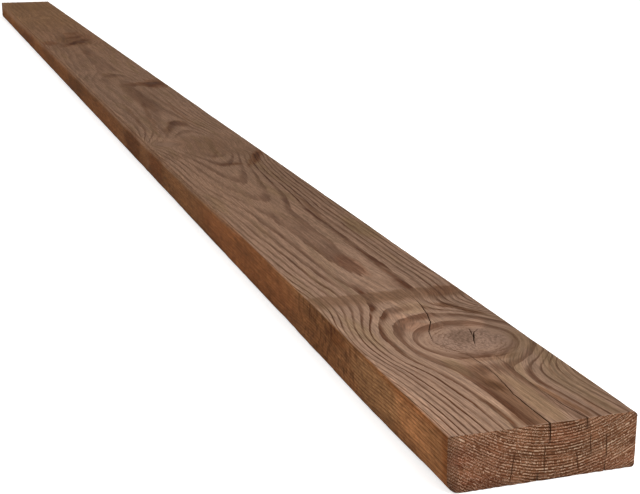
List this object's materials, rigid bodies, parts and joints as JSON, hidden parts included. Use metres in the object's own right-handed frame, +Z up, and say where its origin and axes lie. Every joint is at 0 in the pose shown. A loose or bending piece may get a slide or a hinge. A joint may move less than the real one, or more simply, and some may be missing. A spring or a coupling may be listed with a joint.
{
  "type": "timber plank",
  "caption": "Long flat softwood plank of rectangular section with eased edges and square-cut ends, one end split by drying, for decks, framing and boarding",
  "frame": {"origin": "on the underside, midway along the length and across the width", "axes": "+X along the grain towards the split end, +Y across the width, +Z up out of the upper wide face"},
  "size_m": [3.6, 0.15, 0.044],
  "materials": {
    "treated_softwood": "planed and weathered, brown preservative treatment"
  },
  "bodies": {
    "root": {"plank": "treated_softwood"}
  },
  "joints": []
}
